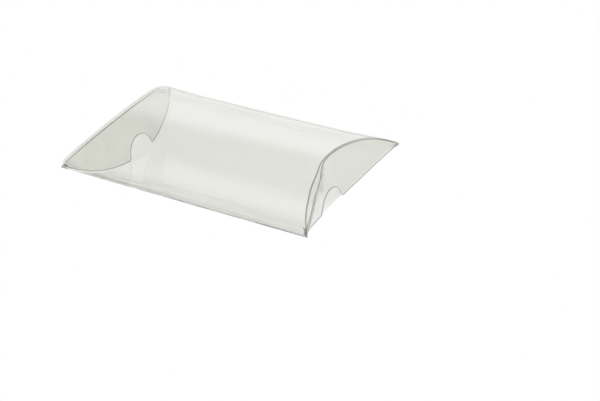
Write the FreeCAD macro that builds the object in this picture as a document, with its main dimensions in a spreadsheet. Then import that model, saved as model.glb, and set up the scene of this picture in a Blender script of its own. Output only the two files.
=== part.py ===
import FreeCAD, Part
import math
import os
import Sketcher
from FreeCAD import Placement, Rotation, Vector

# A clear pillow box: one sheet of PET film, creased into a tube with a pointed-oval section and
# closed at each end by two curved flaps, one folded in behind the other.
#
# Frame: X runs along the side folds, Y across them and Z up. The origin is on the surface that the
# box rests on, under its middle.
#
# Each end closes at 45 degrees: at every place along a curved crease, the crease lies as far in from
# the corner as it lies above or below the side folds. So the curve that is the panels' section in
# the YZ plane is also, laid down in the XY plane, the curve that the end flaps follow.

doc = FreeCAD.newDocument("clear_pillow_box")

# ---------------------------------------------------------------- sizes, in millimetres

sheet = doc.addObject("Spreadsheet::Sheet", "sizes")

DRIVING = [
    ("box_length", 127.7, "between corners, along a side fold, before their rounding"),
    ("box_width", 78.0, "between the lines where the two panels' outer faces would meet"),
    ("box_height", 26.2, "over the two crowns"),
    ("crown_radius", 76.0, "curve of a panel's middle"),
    ("crown_span", 40.0, "width of that middle curve; a tighter shoulder follows on each side"),
    ("film", 0.3, "thickness of the film"),
    ("fold_bore", 0.2, "radius left inside a side fold, within the panels and the glue tab"),
    ("panel_corner", 1.5, "rounding of the panels' corners"),
    ("flap_tip", 3.0, "rounding of a flap's two tips, which frees them from the side folds"),
    ("hinge_gap", 0.6, "top panel to outer flap, so that the flap swings free"),
    ("layer_gap", 0.3, "outer flap to the inner flap behind it"),
    ("inner_gap", 0.7, "top panel to the inner flap's free edge"),
    ("notch_radius", 8.0, "thumb notch in an outer flap"),
    ("notch_lip", 1.5, "rounding of the notch's mouth"),
    ("tab_reach", 7.0, "glue tab, from the side fold to its free edge, across the box"),
    ("tab_setback", 1.5, "corner of the box to the glue tab's end, at the fold"),
    ("tab_taper", 7.8, "what each end of the glue tab tapers by, from fold to free edge"),
    ("rest_width", 11.0, "flat that the bottom panel rests on"),
    ("overrun", 2.0, "how far a cutting shape runs past what it cuts"),
]

DERIVED = [
    ("half_length", "=box_length / 2"),
    ("half_width", "=box_width / 2"),
    ("half_height", "=box_height / 2"),
    ("fold_radius", "=fold_bore + 2 * film"),
    ("crown_drop", "=crown_radius - half_height"),
    ("rest_rise", "=crown_radius - sqrt(crown_radius^2 - (rest_width / 2)^2)"),
    ("fold_level", "=half_height - rest_rise"),
    ("top_level", "=fold_level + half_height"),
    ("past_end", "=half_length + overrun"),
    ("past_crown", "=half_height + overrun"),
    ("mouth_side", "=sqrt((notch_radius + notch_lip)^2 - notch_lip^2)"),
    ("mouth_rise", "=crown_radius - sqrt(crown_radius^2 - mouth_side^2)"),
    ("notch_level", "=fold_level - half_height + mouth_rise"),
]

for number, (alias, value, meaning) in enumerate(DRIVING, start=1):
    sheet.set(f"A{number}", meaning)
    sheet.set(f"B{number}", str(value))
    sheet.setAlias(f"B{number}", alias)
for number, (alias, formula) in enumerate(DERIVED, start=len(DRIVING) + 1):
    sheet.set(f"B{number}", formula)
    sheet.setAlias(f"B{number}", alias)
doc.recompute()


def size(alias):
    return float(sheet.get(alias))


# ---------------------------------------------------------------- building blocks

X = Vector(1, 0, 0)
Y = Vector(0, 1, 0)
Z = Vector(0, 0, 1)
ORIGIN = Vector(0, 0, 0)

# How a sketch stands: its own first and second axes along Y and Z, or along Y and back along X.
UPRIGHT = Rotation(Y, Z, X, "XYZ")
LAID_DOWN = Rotation(Y, -X, Z, "XYZ")

# Sketcher's numbers for the parts of an arc or line, and for a sketch's two axes.
START, END, MIDDLE = 1, 2, 3
HORIZONTAL, VERTICAL = -1, -2
SKETCH_ORIGIN = (HORIZONTAL, START)


def bind(thing, **expressions):
    """Ties properties of an object to cells of the sheet. A double underscore stands for a dot."""
    for name, expression in expressions.items():
        thing.setExpression(name.replace("__", "."), expression)
    return thing


def new_sketch(name, rotation):
    sketch = doc.addObject("Sketcher::SketchObject", name)
    sketch.Placement = Placement(ORIGIN, rotation)
    return sketch


def rule(sketch, *what):
    return sketch.addConstraint(Sketcher.Constraint(*what))


def measure(sketch, label, expression, *what):
    """A constraint with a value, tied to the sheet."""
    number = rule(sketch, *what)
    sketch.renameConstraint(number, label)
    sketch.setExpression(f"Constraints.{label}", expression)


def add_arc(sketch, centre, radius, start, end):
    return sketch.addGeometry(Part.ArcOfCircle(Part.Circle(centre, Z, radius), start, end), False)


def add_line(sketch, start, end):
    return sketch.addGeometry(Part.LineSegment(start, end), False)


def offset(name, outline, distance):
    """The outline moved outward, or inward where the distance is negative."""
    moved = doc.addObject("Part::Offset2D", name)
    moved.Source = outline
    moved.Mode = "Pipe"
    moved.Join = "Arc"
    return bind(moved, Value=distance)


def extrude(name, outline, direction, forward, backward):
    solid = doc.addObject("Part::Extrusion", name)
    solid.Base = outline
    solid.DirMode = "Custom"
    solid.Dir = direction
    solid.Solid = True
    return bind(solid, LengthFwd=forward, LengthRev=backward)


def combine(kind, name, base, tool):
    """A cut, fuse or common of two shapes."""
    result = doc.addObject(f"Part::{kind}", name)
    result.Base = base
    result.Tool = tool
    return result


def mirror(name, source):
    """The same shape at the other end of the box."""
    copy = doc.addObject("Part::Mirroring", name)
    copy.Source = source
    copy.Base = ORIGIN
    copy.Normal = X
    return copy


def block(name, bottom):
    """All the room that the box takes, from a level upward."""
    box = doc.addObject("Part::Box", name)
    return bind(
        box,
        Length="sizes.box_length",
        Width="sizes.box_width",
        Height=f"sizes.box_height - {bottom}",
        Placement__Base__x="-sizes.half_length",
        Placement__Base__y="-sizes.half_width",
        Placement__Base__z=bottom,
    )


# ---------------------------------------------------------------- sketches


def pointed_oval(name, rotation, tip_alias):
    """The section of the two panels: above, a crown arc between two shoulder arcs, the same below,
    and a small arc round each of the two tips."""
    sketch = new_sketch(name, rotation)
    half_width = size("half_width")
    crown = size("crown_radius")
    drop = size("crown_drop")
    tip = size(tip_alias)

    # The shoulder's circle touches the crown's circle where the crown ends, and passes the corner.
    lean = math.asin(size("crown_span") / 2 / crown)
    outward = Vector(math.sin(lean), math.cos(lean), 0)
    join = outward * crown - Vector(0, drop, 0)
    to_corner = Vector(half_width, 0, 0) - join
    slope = math.atan2(-to_corner.y, to_corner.x)
    shoulder = to_corner.Length / 2 / math.sin(slope - lean)
    centre = join - outward * shoulder
    # The tip's circle touches both shoulders from inside.
    tip_centre = centre.x + math.sqrt((shoulder - tip) ** 2 - centre.y ** 2)
    tip_lean = math.atan2(-centre.y, tip_centre - centre.x)

    def shoulder_arc(x_side, y_side, start, end):
        return add_arc(sketch, Vector(centre.x * x_side, centre.y * y_side, 0), shoulder, start, end)

    # Anticlockwise, from the tip on the first axis's positive side.
    quarter = math.pi / 2
    right_tip = add_arc(sketch, Vector(tip_centre, 0, 0), tip, -tip_lean, tip_lean)
    upper_right = shoulder_arc(1, 1, tip_lean, quarter - lean)
    upper_crown = add_arc(sketch, Vector(0, -drop, 0), crown, quarter - lean, quarter + lean)
    upper_left = shoulder_arc(-1, 1, quarter + lean, 2 * quarter - tip_lean)
    left_tip = add_arc(
        sketch, Vector(-tip_centre, 0, 0), tip, 2 * quarter - tip_lean, 2 * quarter + tip_lean
    )
    lower_left = shoulder_arc(-1, -1, 2 * quarter + tip_lean, 3 * quarter - lean)
    lower_crown = add_arc(sketch, Vector(0, drop, 0), crown, 3 * quarter - lean, 3 * quarter + lean)
    lower_right = shoulder_arc(1, -1, 3 * quarter + lean, 4 * quarter - tip_lean)
    around = [
        right_tip, upper_right, upper_crown, upper_left,
        left_tip, lower_left, lower_crown, lower_right,
    ]
    for before, after in zip(around, around[1:] + around[:1]):
        rule(sketch, "Tangent", before, END, after, START)

    rule(sketch, "PointOnObject", upper_crown, MIDDLE, VERTICAL)
    rule(sketch, "PointOnObject", lower_crown, MIDDLE, VERTICAL)
    measure(sketch, "upper_crown", "sizes.crown_radius", "Radius", upper_crown, crown)
    measure(sketch, "lower_crown", "sizes.crown_radius", "Radius", lower_crown, crown)
    # The end that comes first in each pair lies further left, or further down, by the value.
    across = "sizes.crown_span / 2"
    for label, expression, kind, first, second, value in (
        ("upper_drop", "sizes.crown_drop", "DistanceY", (upper_crown, MIDDLE), SKETCH_ORIGIN, drop),
        ("lower_drop", "sizes.crown_drop", "DistanceY", SKETCH_ORIGIN, (lower_crown, MIDDLE), drop),
        ("upper_right", across, "DistanceX", SKETCH_ORIGIN, (upper_crown, START), join.x),
        ("upper_left", across, "DistanceX", (upper_crown, END), SKETCH_ORIGIN, join.x),
        ("lower_left", across, "DistanceX", (lower_crown, START), SKETCH_ORIGIN, join.x),
        ("lower_right", across, "DistanceX", SKETCH_ORIGIN, (lower_crown, END), join.x),
    ):
        measure(sketch, label, expression, kind, *first, *second, value)

    # A point on each side marks where the panels would meet without the tips' rounding.
    for label, side, tip_arc, shoulders in (
        ("right", 1, right_tip, (upper_right, lower_right)),
        ("left", -1, left_tip, (upper_left, lower_left)),
    ):
        corner = sketch.addGeometry(Part.Point(Vector(half_width * side, 0, 0)), True)
        ends = (SKETCH_ORIGIN, (corner, START))[::side]
        width = ("DistanceX", *ends[0], *ends[1], half_width)
        measure(sketch, f"{label}_corner", "sizes.half_width", *width)
        measure(sketch, f"{label}_tip", f"sizes.{tip_alias}", "Radius", tip_arc, tip)
        rule(sketch, "PointOnObject", corner, START, HORIZONTAL)
        for shoulder_number in shoulders:
            rule(sketch, "PointOnObject", corner, START, shoulder_number)
    return sketch


def notch_outline(name):
    """Half a circle open downward, its mouth rounded into the flap's free edge."""
    sketch = new_sketch(name, UPRIGHT)
    radius = size("notch_radius")
    lip = size("notch_lip")
    below = size("overrun")
    side = size("mouth_side")
    lean = math.asin(lip / (radius + lip))

    crown = add_arc(sketch, ORIGIN, radius, lean, math.pi - lean)
    right_lip = add_arc(sketch, Vector(side, lip, 0), lip, math.pi + lean, 1.5 * math.pi)
    left_lip = add_arc(sketch, Vector(-side, lip, 0), lip, 1.5 * math.pi, 2 * math.pi - lean)
    left_side = add_line(sketch, Vector(-side, 0, 0), Vector(-side, -below, 0))
    bottom = add_line(sketch, Vector(-side, -below, 0), Vector(side, -below, 0))
    right_side = add_line(sketch, Vector(side, -below, 0), Vector(side, 0, 0))

    rule(sketch, "Coincident", crown, MIDDLE, *SKETCH_ORIGIN)
    rule(sketch, "Tangent", crown, START, right_lip, START)
    rule(sketch, "Tangent", crown, END, left_lip, END)
    rule(sketch, "Coincident", right_lip, END, right_side, END)
    rule(sketch, "Coincident", left_lip, START, left_side, START)
    rule(sketch, "Coincident", left_side, END, bottom, START)
    rule(sketch, "Coincident", bottom, END, right_side, START)
    rule(sketch, "PointOnObject", right_side, END, HORIZONTAL)
    rule(sketch, "PointOnObject", left_side, START, HORIZONTAL)
    rule(sketch, "Vertical", right_side)
    rule(sketch, "Vertical", left_side)
    rule(sketch, "Horizontal", bottom)
    rule(sketch, "Vertical", right_lip, MIDDLE, right_lip, END)
    rule(sketch, "Vertical", left_lip, MIDDLE, left_lip, START)
    rule(sketch, "Equal", right_lip, left_lip)
    measure(sketch, "notch", "sizes.notch_radius", "Radius", crown, radius)
    measure(sketch, "lip", "sizes.notch_lip", "Radius", right_lip, lip)
    depth = ("DistanceY", left_side, END, left_side, START, below)
    measure(sketch, "below", "sizes.overrun", *depth)
    return bind(sketch, Placement__Base__z="sizes.notch_level")


section = bind(
    pointed_oval("panel_section", UPRIGHT, "fold_radius"),
    Placement__Base__z="sizes.fold_level",
)
flap_face = bind(
    pointed_oval("flap_face", UPRIGHT, "flap_tip"),
    Placement__Base__z="sizes.fold_level",
)
end_curve = bind(
    pointed_oval("end_curve", LAID_DOWN, "fold_radius"),
    Placement__Base__x="sizes.half_length",
    Placement__Base__z="sizes.fold_level",
)
notch = notch_outline("thumb_notch")

section_inside = offset("panel_inside", section, "-sizes.film")
section_tab = offset("glue_tab_inside", section, "-2 * sizes.film")
outer_flap_inside = offset("outer_flap_inside", end_curve, "sizes.film")
inner_flap_outside = offset("inner_flap_outside", end_curve, "sizes.film + sizes.layer_gap")
inner_flap_inside = offset("inner_flap_inside", end_curve, "2 * sizes.film + sizes.layer_gap")

# ---------------------------------------------------------------- the two panels

TO_CORNERS = ("sizes.half_length", "sizes.half_length")
PAST_ENDS = ("sizes.past_end", "sizes.past_end")
PAST_CROWNS = ("sizes.past_crown", "sizes.past_crown")

# Standing on a table flattens the bottom panel's middle a little.
outer_room = doc.addObject("Part::Fillet", "outer_room")
outer_room.Base = block("square_room", "0")
UPRIGHT_EDGES = (1, 3, 5, 7)
outer_room.Edges = [(edge, size("panel_corner"), size("panel_corner")) for edge in UPRIGHT_EDGES]
inner_room = block("inner_room", "sizes.film")

whole_outside = extrude("whole_outside", section, X, *TO_CORNERS)
whole_inside = extrude("whole_inside", section_inside, X, *TO_CORNERS)
outside = combine("Common", "outside", whole_outside, outer_room)
hollow = combine("Common", "hollow", whole_inside, inner_room)
tube = combine("Cut", "tube", outside, hollow)

# The top panel ends at the outer flap's outer face, and the bottom panel at the inner flap's.
top_end = extrude("top_end", end_curve, Z, "sizes.past_crown", "0")
bottom_end = extrude("bottom_end", inner_flap_outside, Z, "0", "sizes.past_crown")
right_end = combine("Fuse", "right_end", top_end, bottom_end)
both_ends = combine("Fuse", "both_ends", right_end, mirror("left_end", right_end))
panels = combine("Cut", "panels", tube, both_ends)

# ---------------------------------------------------------------- end flaps


def face_on(name, gap):
    """A flap's room seen face on: clear of the top panel by a gap, and down to the bottom panel."""
    outline = offset(f"{name}_outline", flap_face, f"-(sizes.film + {gap})")
    upper = extrude(f"{name}_upper", outline, X, *PAST_ENDS)
    lower = extrude(f"{name}_lower", outline, X, *PAST_ENDS)
    bind(lower, Placement__Base__z=f"-2 * (sizes.film + {gap})")
    return combine("Common", f"{name}_face", combine("Fuse", f"{name}_both", upper, lower), outside)


def standing_film(name, outer_side, inner_side):
    """A layer of film that stands on the end's curve."""
    outer = extrude(f"{name}_outer_side", outer_side, Z, *PAST_CROWNS)
    inner = extrude(f"{name}_inner_side", inner_side, Z, *PAST_CROWNS)
    return combine("Cut", f"{name}_film", inner, outer)


inner_flap = combine(
    "Common",
    "right_inner_flap",
    standing_film("inner_flap", inner_flap_outside, inner_flap_inside),
    face_on("inner_flap", "sizes.inner_gap"),
)
outer_flap = combine(
    "Common",
    "outer_flap",
    standing_film("outer_flap", end_curve, outer_flap_inside),
    face_on("outer_flap", "sizes.hinge_gap"),
)
notch_cut = extrude("notch_cut", notch, X, "sizes.past_end", "0")
right_end_flap = combine("Cut", "right_end_flap", outer_flap, notch_cut)
left_end_flap = mirror("left_end_flap", right_end_flap)

# ---------------------------------------------------------------- glue tab, under the top panel

tab_film = combine(
    "Cut",
    "tab_film",
    whole_inside,
    extrude("tab_inner_side", section_tab, X, *PAST_ENDS),
)
tab_room = bind(
    doc.addObject("Part::Wedge", "tab_room"),
    Xmin="-sizes.half_length + sizes.tab_setback + sizes.tab_taper",
    Xmax="sizes.half_length - sizes.tab_setback - sizes.tab_taper",
    X2min="-sizes.half_length + sizes.tab_setback",
    X2max="sizes.half_length - sizes.tab_setback",
    Ymin="sizes.half_width - sizes.tab_reach",
    Ymax="sizes.half_width",
    Zmin="sizes.fold_level",
    Zmax="sizes.top_level",
    Z2min="sizes.fold_level",
    Z2max="sizes.top_level",
)
glue_tab = combine("Common", "glue_tab", tab_film, tab_room)

folded_sheet = doc.addObject("Part::MultiFuse", "folded_sheet")
folded_sheet.Shapes = [panels, inner_flap, mirror("left_inner_flap", inner_flap), glue_tab]

# ---------------------------------------------------------------- check, then write

doc.recompute()

for thing in doc.Objects:
    if {"Invalid", "Error"} & set(thing.State):
        raise SystemExit(f"{thing.Label} did not build: {thing.State}")

os.makedirs("parts", exist_ok=True)
for piece in (folded_sheet, left_end_flap, right_end_flap):
    shape = piece.Shape
    if shape.isNull() or not shape.isValid() or len(shape.Solids) != 1:
        raise SystemExit(f"{piece.Label} is not one sound solid")
    shape.exportStep(os.path.join("parts", f"{piece.Label}.step"))
    print(piece.Label, "volume", round(shape.Volume, 1), "mm3")
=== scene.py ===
"""A clear pillow box: one creased sheet of thin film, closed at each end by two curved flaps."""

import math

import bmesh
import bpy
from mathutils import Matrix, Vector, noise


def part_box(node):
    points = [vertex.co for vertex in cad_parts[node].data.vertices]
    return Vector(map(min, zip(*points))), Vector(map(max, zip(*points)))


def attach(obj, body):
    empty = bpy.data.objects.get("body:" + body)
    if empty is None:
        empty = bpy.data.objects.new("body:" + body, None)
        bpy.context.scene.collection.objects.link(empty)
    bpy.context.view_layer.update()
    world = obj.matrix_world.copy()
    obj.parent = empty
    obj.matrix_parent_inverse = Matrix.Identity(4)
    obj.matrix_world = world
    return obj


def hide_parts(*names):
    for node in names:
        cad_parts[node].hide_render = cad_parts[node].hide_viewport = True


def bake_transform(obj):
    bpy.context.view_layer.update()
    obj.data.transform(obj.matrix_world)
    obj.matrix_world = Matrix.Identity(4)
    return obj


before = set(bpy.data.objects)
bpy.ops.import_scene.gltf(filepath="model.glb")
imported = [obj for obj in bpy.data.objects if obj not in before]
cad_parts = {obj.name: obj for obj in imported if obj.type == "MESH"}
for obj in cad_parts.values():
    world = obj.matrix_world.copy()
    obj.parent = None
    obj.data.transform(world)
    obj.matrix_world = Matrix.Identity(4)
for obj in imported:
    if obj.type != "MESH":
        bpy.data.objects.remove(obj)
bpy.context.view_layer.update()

MM = 0.001
LEFT, RIGHT = -1, 1

# ---------------------------------------------------------------- sizes, in millimetres

# The sheet's outer face, as folded. Corners are where faces would meet without their rounding.
HALF_LENGTH = 63.85
HALF_WIDTH = 39.0
HALF_HEIGHT = 13.1
CROWN_RADIUS = 76.0
CROWN_SPAN = 40.0
FILM = 0.3
FOLD_RADIUS = 0.8
TOP_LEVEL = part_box("folded_sheet")[1].z / MM
FOLD_LEVEL = TOP_LEVEL - HALF_HEIGHT
# The bottom panel sags until its middle touches what the box stands on.
SAG = FOLD_LEVEL / HALF_HEIGHT

# The curved creases. Across the box each stops at CREASE_END, near the corner.
CREASE_RADIUS = 0.5
CREASE_END = 37.6
CREASE_FADE = 0.4
CORNER_ROUNDING = 0.45
HAIRLINE = 0.03

# The flaps. The inner one lies LAYER_STEP inside the outer at its foot, and less at its top.
LAYER_STEP = 1.05
INNER_LEAN = 0.42
INNER_DROP = 0.3
TUCK_GAP = 0.8
LEAST_DROP = 0.1
TIP_ROUNDING = 1.6
TIP_TURN = math.radians(84)
NOTCH_RADIUS = 8.0
NOTCH_LIP = 1.5
NOTCH_SIDE = math.sqrt((NOTCH_RADIUS + NOTCH_LIP) ** 2 - NOTCH_LIP**2)

# The glue tab, from beside the far side fold inwards, with its ends cut at a slant.
TAB_START = 37.8
TAB_REACH = 7.0
TAB_SETBACK = 1.5
TAB_TAPER = 7.8

# ---------------------------------------------------------------- what isn't regular in it

# A span gives where across or along the box a change begins, and where it is complete.

# The left end's far corner is blunt.
BLUNT_CORNER = 2.8
BLUNT_ACROSS = (20, 37)

# The right end stands a little out on its near half.
ASKEW = 1.3
ASKEW_BEGINS = (4, 14)
ASKEW_ENDS = (24, 37)

# The two corners on the glue tab's side are sprung up.
CORNER_LIFT = 0.9
LIFT_ACROSS = (16, 37)
LIFT_ALONG = (34, 62)

# The left flap is tucked in a little askew, with its notch towards the glue tab's side.
NOTCH_ASIDE = 2.0
ASIDE_ENDS = (11, 34)

# Where nothing holds the panels flat, they have hills and hollows. The places are where in the
# noise each of the two panels lies, so that they aren't alike.
WAVE = 0.14
WAVE_ALONG = 54.4
WAVE_ACROSS = 34.0
WAVE_ENDS = (34, HALF_LENGTH - HALF_HEIGHT - 1)
WAVE_PLACES = (0.0, 7.3)

# Towards the side folds they have low streaks along the box.
STREAK = 0.13
STREAK_ALONG = 26
STREAK_ACROSS = 2.6
STREAK_BEGINS = (18, 25)
STREAK_ENDS = (34, 38)
STREAK_STOPS = (44, 56)
STREAK_PLACES = (3.1, 8.8)

# Four numbers for each end: a measure on the near half and on the far half, and the span across
# the box in which it changes from one to the other.
# How far the springy film goes on past its scored line before it turns down:
SPREAD = {LEFT: (3.9, 3.9, -20, 2), RIGHT: (2.5, 0.1, -20, 2)}
# how wide the painted shade along the scored line is, on the top panel's side of it:
SCORE_SHADE_WIDTH = {LEFT: (0.26, 0.10, 8, 26), RIGHT: (0.40, 1.05, -12, 12)}
# and how wide the band of painted shade is along an outer flap's cut edge.
EDGE_SHADE_BAND = {LEFT: (0.32, 0.096, 9, 20), RIGHT: (0.32, 0.32, 9, 20)}
# The spread dies away where the panels come as near as this to the side folds' level,
SPREAD_FADE = {LEFT: 4, RIGHT: 7}
# and the film comes down by this share of it.
SPREAD_DROP = 0.55
# From this far across the box, the right end turns down sharply, and gets painted shade there too.
SHARP_FROM = 2

# The corners' tips, darkened with painted shade, reach in past the creases' ends, the near right
# one furthest.
TIP_DARK = 0.2
NEAR_RIGHT_TIP_DARK = 1.2

# ---------------------------------------------------------------- how finely it is divided

CROWN_STEPS, SHOULDER_STEPS, FOLD_STEPS = 16, 24, 5
LENGTH_STEPS = 48
CREASE_STEPS = 4
BEND_STEPS = 14
SHARP_STEPS = 5
FLAP_ROWS = 24
NOTCH_STEPS, LIP_STEPS, STRAIGHT_STEPS, TIP_STEPS = 14, 6, 26, 8
TAB_COLUMNS, TAB_ROWS = 60, 8
MERGE = 1e-3
SHARP_EDGE = math.radians(40)
# How near a rim's middle is to the scored line that it belongs to, in height and along the box.
SCORE_NEAR = (0.5, 0.2)

# Material slots on every piece. The third is a dark tint of painted shade, and the last is the
# flaps' film tinted darker as painted shade.
CLEAR, CREASED, PAINTED_SHADE, CUT, SHADED_FLAP = 0, 1, 2, 3, 4

# ---------------------------------------------------------------- the panels' curve


def shoulder_arc():
    """Centre and radius of the arc that leads from the crown's end to the corner."""
    lean = math.asin(CROWN_SPAN / 2 / CROWN_RADIUS)
    outward = Vector((math.sin(lean), math.cos(lean)))
    join = outward * CROWN_RADIUS - Vector((0, CROWN_RADIUS - HALF_HEIGHT))
    to_corner = Vector((HALF_WIDTH, 0)) - join
    fall = math.atan2(-to_corner.y, to_corner.x)
    radius = to_corner.length / 2 / math.sin(fall - lean)
    return join - outward * radius, radius, lean


SHOULDER, SHOULDER_RADIUS, CROWN_LEAN = shoulder_arc()


def rise(across):
    """Height of a panel's outer face above the side folds, at a distance across the box."""
    across = abs(across)
    if across < CROWN_SPAN / 2:
        return math.sqrt(CROWN_RADIUS**2 - across**2) - CROWN_RADIUS + HALF_HEIGHT
    return SHOULDER.y + math.sqrt(max(SHOULDER_RADIUS**2 - (across - SHOULDER.x) ** 2, 0))


def slope(across):
    """How steeply the outer face falls there, as an angle."""
    across = abs(across)
    if across < CROWN_SPAN / 2:
        return math.asin(across / CROWN_RADIUS)
    return math.asin(min((across - SHOULDER.x) / SHOULDER_RADIUS, 1))


def ease(value, low, high):
    """0 below low, 1 above high, and smooth between."""
    t = min(max((value - low) / (high - low), 0), 1)
    return t * t * (3 - 2 * t)


def near_to_far(across, near, far, low, high):
    """A measure that is near on the box's near half and far on its far half."""
    return near + (far - near) * ease(across, low, high)


def creased(across):
    """1 where an end is creased, falling to 0 at the box's corners, where its two panels part."""
    return 1 - ease(abs(across), CREASE_END - TIP_ROUNDING, CREASE_END + CREASE_FADE)


def foot_reach(across, side):
    """How far the bottom panel reaches along the box, to the crease at its end."""
    reach = HALF_LENGTH - math.hypot(max(rise(across), 0), CORNER_ROUNDING)
    if side == LEFT:
        reach -= BLUNT_CORNER * ease(across, *BLUNT_ACROSS)
    return reach


def end_reach(across, side):
    """How far the top panel reaches along the box, to the scored line at its end."""
    reach = foot_reach(across, side)
    if side == RIGHT:
        reach += ASKEW * ease(-across, *ASKEW_BEGINS) * (1 - ease(-across, *ASKEW_ENDS))
    return reach


def layer_step(across):
    """How far inside the outer flap the inner flap lies."""
    return LAYER_STEP / math.cos(slope(across)) * creased(across)


def tip_share(across):
    """How much of its full depth a flap has there: less near its two rounded tips."""
    past = (abs(across) - CREASE_END + TIP_ROUNDING) / TIP_ROUNDING
    return math.sqrt(max(1 - max(past, 0) ** 2, 0))


def soft_bend(across, side):
    """How far out and down the springy film goes past its scored line before it turns down."""
    spread = near_to_far(across, *SPREAD[side]) * ease(rise(across), 0, SPREAD_FADE[side])
    out = (CREASE_RADIUS + spread) * creased(across)
    return out, (CREASE_RADIUS + SPREAD_DROP * spread) * creased(across)


def tucked_level(across):
    """Height of an outer flap's free edge above the side folds, away from its notch and tips."""
    return TUCK_GAP - rise(across) * SAG


def bowed_reach(across, level, side):
    """Where the outer flap stands at a level below its bend: it leans back in as it falls."""
    out, down = soft_bend(across, side)
    top = rise(across) - down
    foot = tucked_level(across)
    past = min(max((top - level) / max(top - foot, LEAST_DROP), 0), 1)
    return (end_reach(across, side) + out) * (1 - past) + foot_reach(across, side) * past


def lift(along, across):
    """How much the film springs up towards the two corners on the glue tab's side."""
    return CORNER_LIFT * ease(across, *LIFT_ACROSS) * ease(abs(along), *LIFT_ALONG)


def waviness(along, across, panel):
    """How much higher or lower the top panel, 0, or the bottom panel, 1, is than its curve."""
    free = max(rise(across), 0) / HALF_HEIGHT * (1 - ease(abs(along), *WAVE_ENDS))
    wave = noise.noise(Vector((along / WAVE_ALONG, across / WAVE_ACROSS, WAVE_PLACES[panel])))
    streaked = ease(abs(across), *STREAK_BEGINS) * (1 - ease(abs(across), *STREAK_ENDS))
    streaked *= 1 - ease(abs(along), *STREAK_STOPS)
    streak = noise.noise(
        Vector((along / STREAK_ALONG, across / STREAK_ACROSS, STREAK_PLACES[panel]))
    )
    return WAVE * wave * free + STREAK * streak * streaked


# ---------------------------------------------------------------- making sheets of film


def solid_film(name, bm, is_seam):
    """Gives a sheet its thickness, inward from its outer face, and makes it an object."""
    bmesh.ops.remove_doubles(bm, verts=bm.verts, dist=MERGE / 10)
    outer = set(bm.verts)
    bmesh.ops.solidify(bm, geom=list(bm.faces), thickness=FILM)
    for face in bm.faces:
        face.smooth = True
        outer_corners = sum(vert in outer for vert in face.verts)
        # Rims that are not at a scored line take the cut-edge finish, whose grey is painted shade.
        if 0 < outer_corners < len(face.verts) and not is_seam(face.calc_center_median()):
            face.material_index = CUT
    bmesh.ops.scale(bm, verts=bm.verts, vec=(MM, MM, MM))
    mesh = bpy.data.meshes.new(name)
    bm.to_mesh(mesh)
    bm.free()
    mesh.set_sharp_from_angle(angle=SHARP_EDGE)
    piece = bpy.data.objects.new(name, mesh)
    bpy.context.scene.collection.objects.link(piece)
    return piece


def at_score(place):
    """Whether a rim is one of the two that meet at the scored line of a top crease."""
    side = LEFT if place.x < 0 else RIGHT
    above = place.z - FOLD_LEVEL - lift(place.x, place.y) - rise(place.y)
    past = abs(place.x) - end_reach(place.y, side)
    return above > -SCORE_NEAR[0] and past < SCORE_NEAR[1]


def next_row(bm, edges, place, finish):
    """Extrudes a row of faces from a chain of edges, with its far side where place puts it."""
    extruded = bmesh.ops.extrude_edge_only(bm, edges=edges)["geom"]
    edges = [g for g in extruded if isinstance(g, bmesh.types.BMEdge)]
    for vert in {v for e in edges for v in e.verts}:
        vert.co.x, vert.co.z = place(vert.co.y)
    for face in (g for g in extruded if isinstance(g, bmesh.types.BMFace)):
        face.material_index = finish
    return edges


def spun(bm, geom, centre, angle, move, steps):
    """Sweeps edges round or along the X axis, and gives the last of them."""
    return bmesh.ops.spin(
        bm, geom=geom, cent=centre, axis=(1, 0, 0), dvec=move, angle=angle, steps=steps,
        use_merge=False, use_normal_flip=False, use_duplicate=False,
    )["geom_last"]


def quarter_section(bm):
    """A wire from the top panel's crown to the side fold, made of three arcs."""
    fold_centre = SHOULDER.x + math.sqrt((SHOULDER_RADIUS - FOLD_RADIUS) ** 2 - SHOULDER.y**2)
    fold_lean = math.atan2(fold_centre - SHOULDER.x, -SHOULDER.y)
    last = [bm.verts.new((0, 0, HALF_HEIGHT))]
    for centre, angle, steps in (
        ((0, 0, HALF_HEIGHT - CROWN_RADIUS), CROWN_LEAN, CROWN_STEPS),
        ((0, SHOULDER.x, SHOULDER.y), fold_lean - CROWN_LEAN, SHOULDER_STEPS),
        ((0, fold_centre, 0), math.pi / 2 - fold_lean, FOLD_STEPS),
    ):
        last = spun(bm, last, centre, -angle, (0, 0, 0), steps)


def mirrored(bm, axis):
    """Adds a mirrored copy of everything, merged with it where they meet."""
    bmesh.ops.mirror(bm, geom=bm.verts[:] + bm.edges[:] + bm.faces[:], axis=axis, merge_dist=MERGE)


def face_outwards(bm, outward):
    """Turns an open sheet's faces so that on the whole they look the given way."""
    bmesh.ops.recalc_face_normals(bm, faces=bm.faces)
    if sum(f.normal.dot(outward) * f.calc_area() for f in bm.faces) < 0:
        bmesh.ops.reverse_faces(bm, faces=bm.faces)


def spring_up(bm):
    """Sets a sheet at its height above the floor, with its far corners sprung up."""
    for vert in bm.verts:
        vert.co.z += FOLD_LEVEL + lift(vert.co.x, vert.co.y)


# ---------------------------------------------------------------- the sheet


def at_tip(middle, side):
    """Whether a face is at the very corner of the box, where the creases meet and it gets painted
    shade.
    """
    near = middle.y < 0
    width = NEAR_RIGHT_TIP_DARK if near and side == RIGHT else TIP_DARK
    rows = 2 if near and side == LEFT else 1
    return (
        abs(middle.y) > CREASE_END - width and middle.x > HALF_LENGTH * (1 - rows / LENGTH_STEPS)
    )


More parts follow.
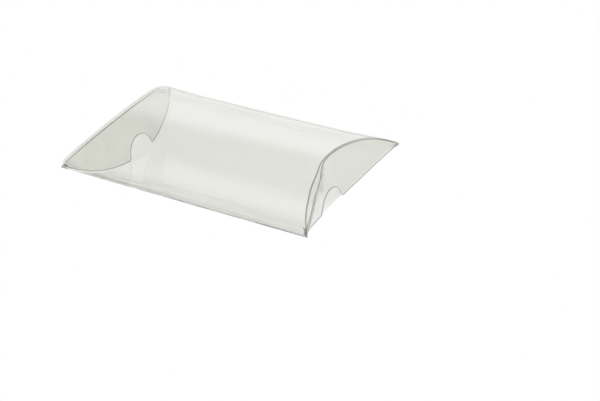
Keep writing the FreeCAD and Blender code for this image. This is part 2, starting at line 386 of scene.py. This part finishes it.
def inner_flap(bm, edges, side):
    """Goes on from the bottom panel's end, round its crease and up."""

    def round_crease(turn):
        def place(across):
            radius = CREASE_RADIUS * creased(across)
            corner = foot_reach(across, side) - layer_step(across) - radius
            return (
                corner + radius * math.sin(turn),
                -rise(across) * SAG + radius * (1 - math.cos(turn)),
            )
        return place

    def up_flap(share):
        def place(across):
            foot = -rise(across) * SAG + CREASE_RADIUS * creased(across)
            top = rise(across) - soft_bend(across, side)[1] - INNER_DROP
            level = foot + (top - foot) * tip_share(across) * share
            # It leans out as it rises, to just inside the outer flap.
            lean = 1 - INNER_LEAN * share * tip_share(across)
            return bowed_reach(across, level, side) - layer_step(across) * lean, level
        return place

    for step in range(1, CREASE_STEPS + 1):
        edges = next_row(bm, edges, round_crease(math.pi / 2 * step / CREASE_STEPS), CREASED)
    for row in range(1, FLAP_ROWS + 1):
        edges = next_row(bm, edges, up_flap(row / FLAP_ROWS), SHADED_FLAP)


def folded_sheet_half(side):
    """Half the folded sheet, towards +X, with the inner flap of the end on the given side."""
    bm = bmesh.new()
    quarter_section(bm)
    mirrored(bm, "Y")
    mirrored(bm, "Z")
    move = (HALF_LENGTH / LENGTH_STEPS, 0, 0)
    spun(bm, bm.edges[:] + bm.verts[:], (0, 0, 0), 0, move, LENGTH_STEPS)
    ends = [
        e for e in bm.edges if e.is_boundary
        and all(v.co.x > HALF_LENGTH / 2 and abs(v.co.y) < CREASE_END for v in e.verts)
    ]
    # The very corners, where the creases meet, get painted shade.
    for face in bm.faces:
        if at_tip(face.calc_center_median(), side):
            face.material_index = PAINTED_SHADE
    for vert in bm.verts:
        across = vert.co.y
        if vert.co.z < 0:
            stop = foot_reach(across, side) - layer_step(across) - CREASE_RADIUS * creased(across)
            vert.co.x *= stop / HALF_LENGTH
            # It lies flat where it touches what the box stands on.
            level = vert.co.z * SAG + waviness(vert.co.x * side, across, 1)
            vert.co.z = max(level, -FOLD_LEVEL)
        else:
            # The top panel stops short of its scored line by a strip of painted shade.
            score = near_to_far(across, *SCORE_SHADE_WIDTH[side]) * creased(across)
            vert.co.x *= (end_reach(across, side) - score) / HALF_LENGTH
            vert.co.z += waviness(vert.co.x * side, across, 0)
    top = [e for e in ends if all(v.co.z > 0 for v in e.verts)]
    bottom = [e for e in ends if all(v.co.z < 0 for v in e.verts)]
    # That strip, up to the scored line, gets painted shade.
    next_row(
        bm, top, lambda across: (end_reach(across, side) - HAIRLINE / 2, rise(across)), PAINTED_SHADE
    )
    inner_flap(bm, bottom, side)
    return bm


def film_box():
    """The folded sheet with its two inner flaps."""
    bm = bmesh.new()
    for side in (LEFT, RIGHT):
        half = folded_sheet_half(side)
        bmesh.ops.scale(half, verts=half.verts, vec=(side, 1, 1))
        mesh = bpy.data.meshes.new("half")
        half.to_mesh(mesh)
        half.free()
        bm.from_mesh(mesh)
        bpy.data.meshes.remove(mesh)
    spring_up(bm)
    bmesh.ops.remove_doubles(bm, verts=bm.verts, dist=MERGE)
    bmesh.ops.recalc_face_normals(bm, faces=bm.faces)
    return solid_film("film_box", bm, at_score)


def glue_tab():
    """The strip along the far side fold that holds the top panel from below."""
    bm = bmesh.new()
    bmesh.ops.create_grid(bm, x_segments=TAB_COLUMNS, y_segments=TAB_ROWS, size=1)
    inner = FILM + HAIRLINE
    for vert in bm.verts:
        share = (vert.co.y + 1) / 2
        across = TAB_START + (HALF_WIDTH - TAB_REACH - TAB_START) * share
        lean = slope(across)
        half = HALF_LENGTH - TAB_SETBACK - TAB_TAPER * share
        if vert.co.x < 0:
            half -= BLUNT_CORNER
        along = vert.co.x * half
        vert.co = (
            along,
            across - inner * math.sin(lean),
            rise(across) - inner * math.cos(lean) + waviness(along, across, 0),
        )
    spring_up(bm)
    face_outwards(bm, Vector((0, 0, 1)))
    return solid_film("glue_tab", bm, lambda place: False)


# ---------------------------------------------------------------- the outer flaps


def flap_stations():
    """Places across half a flap where it is divided, closer together round the notch and tip."""
    lean = math.asin(NOTCH_LIP / (NOTCH_RADIUS + NOTCH_LIP))
    turn = math.pi / 2 - lean
    straight = CREASE_END - TIP_ROUNDING

    def shares(steps):
        return (step / steps for step in range(1, steps + 1))

    return [
        0.0,
        *(NOTCH_RADIUS * math.sin(turn * share) for share in shares(NOTCH_STEPS)),
        *(NOTCH_SIDE - NOTCH_LIP * math.cos(lean + turn * share) for share in shares(LIP_STEPS)),
        *(NOTCH_SIDE + (straight - NOTCH_SIDE) * share for share in shares(STRAIGHT_STEPS)),
        *(straight + TIP_ROUNDING * math.sin(TIP_TURN * share) for share in shares(TIP_STEPS)),
    ]


def notch_middle(side):
    """Where the thumb notch's middle is across the box."""
    return NOTCH_ASIDE if side == LEFT else 0


def notch_edge(across):
    """Height of the thumb notch's edge above its mouth, or 0 outside it."""
    across = abs(across)
    meet = NOTCH_SIDE * NOTCH_RADIUS / (NOTCH_RADIUS + NOTCH_LIP)
    if across <= meet + MERGE / 1000:
        return math.sqrt(NOTCH_RADIUS**2 - across**2)
    if across < NOTCH_SIDE:
        return NOTCH_LIP - math.sqrt(max(NOTCH_LIP**2 - (NOTCH_SIDE - across) ** 2, 0))
    return 0


def flap_foot(across, down, side):
    """Height of an outer flap's free edge, above the side folds."""
    head = rise(across) - down
    foot = tucked_level(across)
    notch = notch_edge(across - notch_middle(side))
    if notch:
        foot = max(foot, tucked_level(NOTCH_RADIUS + NOTCH_LIP) + notch)
    return head - (head - foot) * tip_share(across)


def end_flap(name, side):
    """An outer flap, from the top panel's scored line over its bend and down."""
    bm = bmesh.new()
    chain = [bm.verts.new((0, across, 0)) for across in flap_stations()]
    for pair in zip(chain, chain[1:]):
        bm.edges.new(pair)
    mirrored(bm, "Y")
    for vert in bm.verts:
        # Its stations move over with the notch, less and less towards the tips.
        vert.co.y += notch_middle(side) * (1 - ease(abs(vert.co.y), *ASIDE_ENDS))
        across = vert.co.y
        vert.co.x, vert.co.z = end_reach(across, side) + HAIRLINE / 2, rise(across)
    edges = list(bm.edges)

    def over_bend(turn):
        def place(across):
            out, down = soft_bend(across, side)
            return (
                end_reach(across, side) + HAIRLINE / 2 + out * math.sin(turn),
                rise(across) - down * (1 - math.cos(turn)),
            )
        return place

    def down_flap(share, with_shade_band):
        def place(across):
            down = soft_bend(across, side)[1]
            head = rise(across) - down
            foot = flap_foot(across, down, side)
            if with_shade_band:
                foot += near_to_far(across, *EDGE_SHADE_BAND[side])
            level = head + (min(foot, head) - head) * share
            return bowed_reach(across, level, side) + HAIRLINE / 2, level
        return place

    # On the right end the first row over the bend, and the first rows on its far half, get painted
    # shade.
    for step in range(1, BEND_STEPS + 1):
        finish = PAINTED_SHADE if step == 1 and side == RIGHT else SHADED_FLAP
        edges = next_row(bm, edges, over_bend(math.pi / 2 * step / BEND_STEPS), finish)
        if step <= SHARP_STEPS and side == RIGHT:
            for face in {f for e in edges for f in e.link_faces}:
                if face.calc_center_median().y > SHARP_FROM:
                    face.material_index = PAINTED_SHADE
    for row in range(1, FLAP_ROWS + 1):
        edges = next_row(bm, edges, down_flap(row / FLAP_ROWS, True), SHADED_FLAP)
    # The last row, along the cut edge, is a band of painted shade.
    next_row(bm, edges, down_flap(1, False), PAINTED_SHADE)
    bmesh.ops.remove_doubles(bm, verts=bm.verts, dist=MERGE)
    bmesh.ops.scale(bm, verts=bm.verts, vec=(side, 1, 1))
    spring_up(bm)
    face_outwards(bm, Vector((side, 0, 0)))
    return solid_film(name, bm, at_score)


box_film = film_box()
tab_film = glue_tab()
left_film = end_flap("left_flap_film", LEFT)
right_film = end_flap("right_flap_film", RIGHT)

# ---------------------------------------------------------------- nodes


def socket(group, name, kind, direction, value=None):
    """Adds a named input or output to a node group."""
    made = group.interface.new_socket(name=name, in_out=direction, socket_type=kind)
    if value is not None:
        made.default_value = value


def worked_out(tree, operation, *values, clamp=False):
    """A Math node's result from other nodes' results."""
    made = tree.nodes.new("ShaderNodeMath")
    made.operation = operation
    made.use_clamp = clamp
    for value, into in zip(values, made.inputs):
        tree.links.new(value, into)
    return made.outputs[0]


def ranged(tree, value, low, high, to_low=0.0, to_high=1.0, way="LINEAR"):
    """A Map Range node's result: low to high becomes to_low to to_high."""
    made = tree.nodes.new("ShaderNodeMapRange")
    made.interpolation_type = way
    for name, level in (
        ("From Min", low), ("From Max", high), ("To Min", to_low), ("To Max", to_high),
    ):
        made.inputs[name].default_value = level
    tree.links.new(value, made.inputs["Value"])
    return made.outputs["Result"]


# ---------------------------------------------------------------- materials

# How fine the film's patterns are, along and across the box, in features to a metre.
RIPPLES = (12, 95)
PATCHES = (30, 60)
FOLD_SHADE_STREAKS = (40, 400)
SCUFF_STROKES = (30, 210)
SCUFF_PATCHES = (45, 45)
# How far out from the box's middle the painted shade beside the side folds begins, and where it is
# complete, in metres.
FOLD_SHADE_ACROSS = (0.0320, 0.0355)
# The levels of noise between which the streaks of painted shade and the scuffs' patches come up.
FOLD_SHADE_NOISE = (0.35, 0.65)
LEAST_FOLD_SHADE = 0.2
SCUFF_NOISE = (0.55, 0.75)
STROKE_WIDTH = 0.02


def film_surface():
    """Group: the tint of drawn plastic film, with streaks of painted shade beside the side folds,
    its fine relief, and scuffs.
    """
    group = bpy.data.node_groups.new("film_surface", "ShaderNodeTree")
    socket(group, "Tint", "NodeSocketColor", "INPUT", (1, 1, 1, 1))
    socket(group, "Unevenness", "NodeSocketFloat", "INPUT", 0.01)
    socket(group, "Fold shade", "NodeSocketFloat", "INPUT", 0.05)
    socket(group, "Scuffs", "NodeSocketFloat", "INPUT", 0.1)
    socket(group, "Colour", "NodeSocketColor", "OUTPUT")
    socket(group, "Scuffed", "NodeSocketFloat", "OUTPUT")
    socket(group, "Relief", "NodeSocketFloat", "OUTPUT")
    nodes, links = group.nodes, group.links
    given = nodes.new("NodeGroupInput").outputs
    out = nodes.new("NodeGroupOutput").inputs
    where = nodes.new("ShaderNodeTexCoord")

    def stretched(fineness):
        """Object coordinates, with one scale along the box and another across it and up."""
        mapping = nodes.new("ShaderNodeMapping")
        mapping.inputs["Scale"].default_value = (fineness[0], fineness[1], fineness[1])
        links.new(where.outputs["Object"], mapping.inputs["Vector"])
        return mapping.outputs[0]

    def noise_of(vector, detail):
        made = nodes.new("ShaderNodeTexNoise")
        made.inputs["Scale"].default_value = 1.0
        made.inputs["Detail"].default_value = detail
        links.new(vector, made.inputs["Vector"])
        return made.outputs["Fac"]

    # Drawing the film leaves long low ripples along the box.
    links.new(noise_of(stretched(RIPPLES), 2.0), out["Relief"])

    # The tint varies a little from place to place.
    patches = noise_of(stretched(PATCHES), 1.0)
    uneven = worked_out(group, "MULTIPLY", patches, given["Unevenness"])

    # Beside the side folds the film's tint is darkened in streaks: painted shade.
    split = nodes.new("ShaderNodeSeparateXYZ")
    links.new(where.outputs["Object"], split.inputs[0])
    across = worked_out(group, "ABSOLUTE", split.outputs["Y"])
    beside = ranged(group, across, *FOLD_SHADE_ACROSS, way="SMOOTHSTEP")
    streaks = noise_of(stretched(FOLD_SHADE_STREAKS), 2.0)
    streaks = ranged(group, streaks, *FOLD_SHADE_NOISE, to_low=LEAST_FOLD_SHADE)
    streaky = worked_out(group, "MULTIPLY", beside, streaks)
    dimmed = worked_out(group, "MULTIPLY_ADD", streaky, given["Fold shade"], uneven)
    darker = nodes.new("ShaderNodeMix")
    darker.data_type = "RGBA"
    darker.inputs["B"].default_value = (0, 0, 0, 1)
    links.new(dimmed, darker.inputs["Factor"])
    links.new(given["Tint"], darker.inputs["A"])
    links.new(darker.outputs["Result"], out["Colour"])

    # Scuffs are hair-thin strokes, in patches where the film was handled.
    cells = nodes.new("ShaderNodeTexVoronoi")
    cells.feature = "DISTANCE_TO_EDGE"
    cells.inputs["Scale"].default_value = 1.0
    links.new(stretched(SCUFF_STROKES), cells.inputs["Vector"])
    stroke = ranged(group, cells.outputs["Distance"], 0.0, STROKE_WIDTH, to_low=1.0, to_high=0.0)
    handled = ranged(group, noise_of(stretched(SCUFF_PATCHES), 2.0), *SCUFF_NOISE)
    both = worked_out(group, "MULTIPLY", stroke, handled)
    links.new(worked_out(group, "MULTIPLY", both, given["Scuffs"]), out["Scuffed"])
    return group


SURFACE = film_surface()
# Film this thin doesn't shift what is seen through it: its gloss is a coat on both faces.
BODY_IOR = 1.003
COAT_IOR = 1.57


def film_material(name, tint, unevenness, fold_shade, scuffs, relief, clear=1.0):
    """A finish of the film, with the relief in millimetres; clear is 0 where it is dull."""
    material = bpy.data.materials.new(name)
    material.use_nodes = True
    nodes, links = material.node_tree.nodes, material.node_tree.links
    shader = nodes["Principled BSDF"]
    shader.inputs["IOR"].default_value = BODY_IOR
    shader.inputs["Coat Weight"].default_value = clear
    shader.inputs["Coat IOR"].default_value = COAT_IOR
    shader.inputs["Coat Roughness"].default_value = 0.0
    shader.inputs["Transmission Weight"].default_value = clear
    surface = nodes.new("ShaderNodeGroup")
    surface.node_tree = SURFACE
    surface.inputs["Tint"].default_value = (*tint, 1)
    surface.inputs["Unevenness"].default_value = unevenness
    surface.inputs["Fold shade"].default_value = fold_shade
    surface.inputs["Scuffs"].default_value = scuffs
    links.new(surface.outputs["Colour"], shader.inputs["Base Color"])
    links.new(surface.outputs["Scuffed"], shader.inputs["Roughness"])
    bump = nodes.new("ShaderNodeBump")
    bump.inputs["Distance"].default_value = relief * MM
    links.new(surface.outputs["Relief"], bump.inputs["Height"])
    links.new(bump.outputs["Normal"], shader.inputs["Normal"])
    return material


# In the order of the material slots.
finishes = (
    film_material("clear_film", (0.968, 0.972, 0.945), 0.02, fold_shade=0.06, scuffs=0.03, relief=0.03),
    film_material("creased_film", (0.94, 0.95, 0.92), 0.10, fold_shade=0.0, scuffs=0.1, relief=0.05),
    # A dark grey tint: painted shade for the dark lines that the film shows at its folds, corners
    # and cut edges.
    film_material("painted_shade_film", (0.50, 0.51, 0.49), 0.10, fold_shade=0.0, scuffs=0.1, relief=0.05),
    # Dull where it was cut, and tinted grey: the grey is painted shade for the dark line that a
    # cut edge of clear film shows.
    film_material(
        "cut_edge", (0.58, 0.59, 0.57), 0.10, fold_shade=0.0, scuffs=0.9, relief=0.10, clear=0.0
    ),
    # The flaps are the same film as the panels, tinted darker: painted shade.
    film_material("flap_film", (0.905, 0.910, 0.878), 0.02, fold_shade=0.0, scuffs=0.03, relief=0.03),
)
for piece in (box_film, tab_film, left_film, right_film):
    for finish in finishes:
        piece.data.materials.append(finish)

# ---------------------------------------------------------------- studio

# The world as the film mirrors it: degrees above the horizon, and how bright it is there.
SKY = ((0, 0.80), (14, 0.90), (27, 0.90), (41, 0.18), (90, 0.18))

FLOOR_RADIUS = 6.0
FLOOR_DROP = 0.0002
# The floor as the film mirrors it: dimmer within the first distance of a place under the box's
# left end, and no longer beyond the second.
DIM_PLACE = (-0.055, 0.004, 0.0)
DIM_REACH = (0.016, 0.045)
DIM_LEVELS = (0.55, 0.92)

LENS = 90.7
SENSOR = 36
EYE = (0.34219, -0.45061, 0.35457)
EYE_RIGHT = Vector((0.85035, 0.5209, -0.07465))
EYE_AHEAD = Vector((-0.47204, 0.6924, -0.54568)).normalized()


def mirrored_mask(tree):
    """1 for a ray that something has mirrored on its way, 0 for one that only passed through."""
    path = tree.nodes.new("ShaderNodeLightPath").outputs
    return worked_out(tree, "ADD", path["Glossy Depth"], path["Diffuse Depth"], clamp=True)


def studio():
    """A plain white world, which the film mirrors as a room that is darker overhead."""
    world = bpy.data.worlds.new("studio")
    bpy.context.scene.world = world
    world.use_nodes = True
    tree = world.node_tree
    nodes, links = tree.nodes, tree.links
    nodes.clear()
    out = nodes.new("ShaderNodeOutputWorld")
    seen = nodes.new("ShaderNodeBackground")
    seen.inputs["Color"].default_value = (1, 1, 1, 1)
    around = nodes.new("ShaderNodeBackground")
    mix = nodes.new("ShaderNodeMixShader")
    where = nodes.new("ShaderNodeTexCoord")
    split = nodes.new("ShaderNodeSeparateXYZ")
    ramp = nodes.new("ShaderNodeValToRGB")
    ramp.color_ramp.interpolation = "EASE"
    links.new(where.outputs["Generated"], split.inputs[0])
    links.new(split.outputs["Z"], ramp.inputs["Fac"])
    stops = ramp.color_ramp.elements
    for degrees, _ in SKY[1:-1]:
        stops.new(math.sin(math.radians(degrees)))
    for stop, (_, level) in zip(stops, SKY):
        stop.color = (level, level, level, 1)
    links.new(ramp.outputs["Color"], around.inputs["Color"])
    links.new(mirrored_mask(tree), mix.inputs["Fac"])
    links.new(seen.outputs[0], mix.inputs[1])
    links.new(around.outputs[0], mix.inputs[2])
    links.new(mix.outputs[0], out.inputs["Surface"])


def floor():
    """A plain pale floor, a hair lower than the box's underside."""
    bm = bmesh.new()
    bmesh.ops.create_circle(bm, cap_ends=True, segments=64, radius=FLOOR_RADIUS)
    mesh = bpy.data.meshes.new("floor")
    bm.to_mesh(mesh)
    bm.free()
    plane = bpy.data.objects.new("floor", mesh)
    bpy.context.scene.collection.objects.link(plane)
    plane.location.z = -FLOOR_DROP
    material = bpy.data.materials.new("pale_floor")
    material.use_nodes = True
    tree = material.node_tree
    nodes, links = tree.nodes, tree.links
    nodes.clear()
    out = nodes.new("ShaderNodeOutputMaterial")
    glow = nodes.new("ShaderNodeEmission")
    where = nodes.new("ShaderNodeTexCoord")
    far = nodes.new("ShaderNodeVectorMath")
    far.operation = "DISTANCE"
    far.inputs[1].default_value = DIM_PLACE
    links.new(where.outputs["Object"], far.inputs[0])
    dim = ranged(tree, far.outputs["Value"], *DIM_REACH, *DIM_LEVELS, way="SMOOTHSTEP")
    level = nodes.new("ShaderNodeMix")
    level.inputs["A"].default_value = 1.0
    links.new(dim, level.inputs["B"])
    links.new(mirrored_mask(tree), level.inputs["Factor"])
    links.new(level.outputs["Result"], glow.inputs["Strength"])
    links.new(glow.outputs[0], out.inputs["Surface"])
    plane.data.materials.append(material)


def camera():
    """A long lens from the front right, looking down on the box."""
    data = bpy.data.cameras.new("camera")
    data.lens = LENS
    data.sensor_width = SENSOR
    eye = bpy.data.objects.new("camera", data)
    up = EYE_RIGHT.cross(EYE_AHEAD).normalized()
    right = EYE_AHEAD.cross(up)
    turned = Matrix((right, up, -EYE_AHEAD)).transposed().to_4x4()
    eye.matrix_world = Matrix.Translation(EYE) @ turned
    bpy.context.scene.collection.objects.link(eye)
    bpy.context.scene.camera = eye


studio()
floor()
camera()
bpy.context.scene.view_settings.view_transform = "Standard"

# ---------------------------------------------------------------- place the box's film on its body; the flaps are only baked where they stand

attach(box_film, "box")
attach(tab_film, "box")
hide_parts("folded_sheet")
for piece, body, node, side in (
    (left_film, "left_flap", "left_end_flap", LEFT),
    (right_film, "right_flap", "right_end_flap", RIGHT),
):
    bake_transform(piece)
    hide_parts(node)
